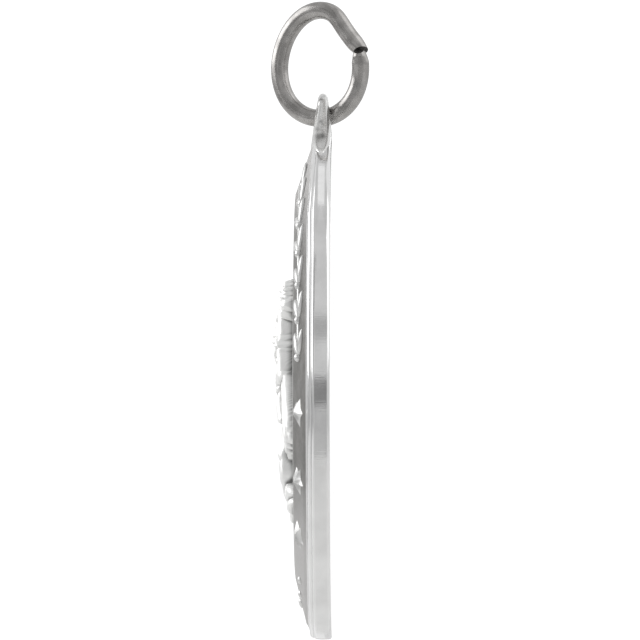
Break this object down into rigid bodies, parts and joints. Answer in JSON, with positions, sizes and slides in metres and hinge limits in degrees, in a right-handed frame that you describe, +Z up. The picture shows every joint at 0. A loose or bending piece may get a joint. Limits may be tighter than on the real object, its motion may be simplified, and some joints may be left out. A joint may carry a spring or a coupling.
{
  "type": "religious medal pendant on a jump ring",
  "caption": "Round cast silver devotional medal with a raised figure, laurel and stars, hanging by its ear from an open jump ring.",
  "frame": {"origin": "inside of the jump ring's top, where a chain carries it", "axes": "+Z up, X across the medal, +Y out of its flat back, so the raised side faces -Y"},
  "size_m": [0.022, 0.0043, 0.0278],
  "materials": {
    "ring_silver": "drawn silver wire, lightly tarnished, with soft scratches",
    "medal_silver": "cast silver with a polished rim, a finely brushed edge and a grey matte ornament ground"
  },
  "bodies": {
    "ring": {"jump_ring": "ring_silver"},
    "medal": {"medal": "medal_silver"}
  },
  "joints": [
    {"name": "medal_swing", "type": "hinge", "parent": "ring", "child": "medal", "pos_m": [0, 0, -0.00431], "axis": [0.5, 0.866, 0], "range_deg": [-90, 90]}
  ]
}
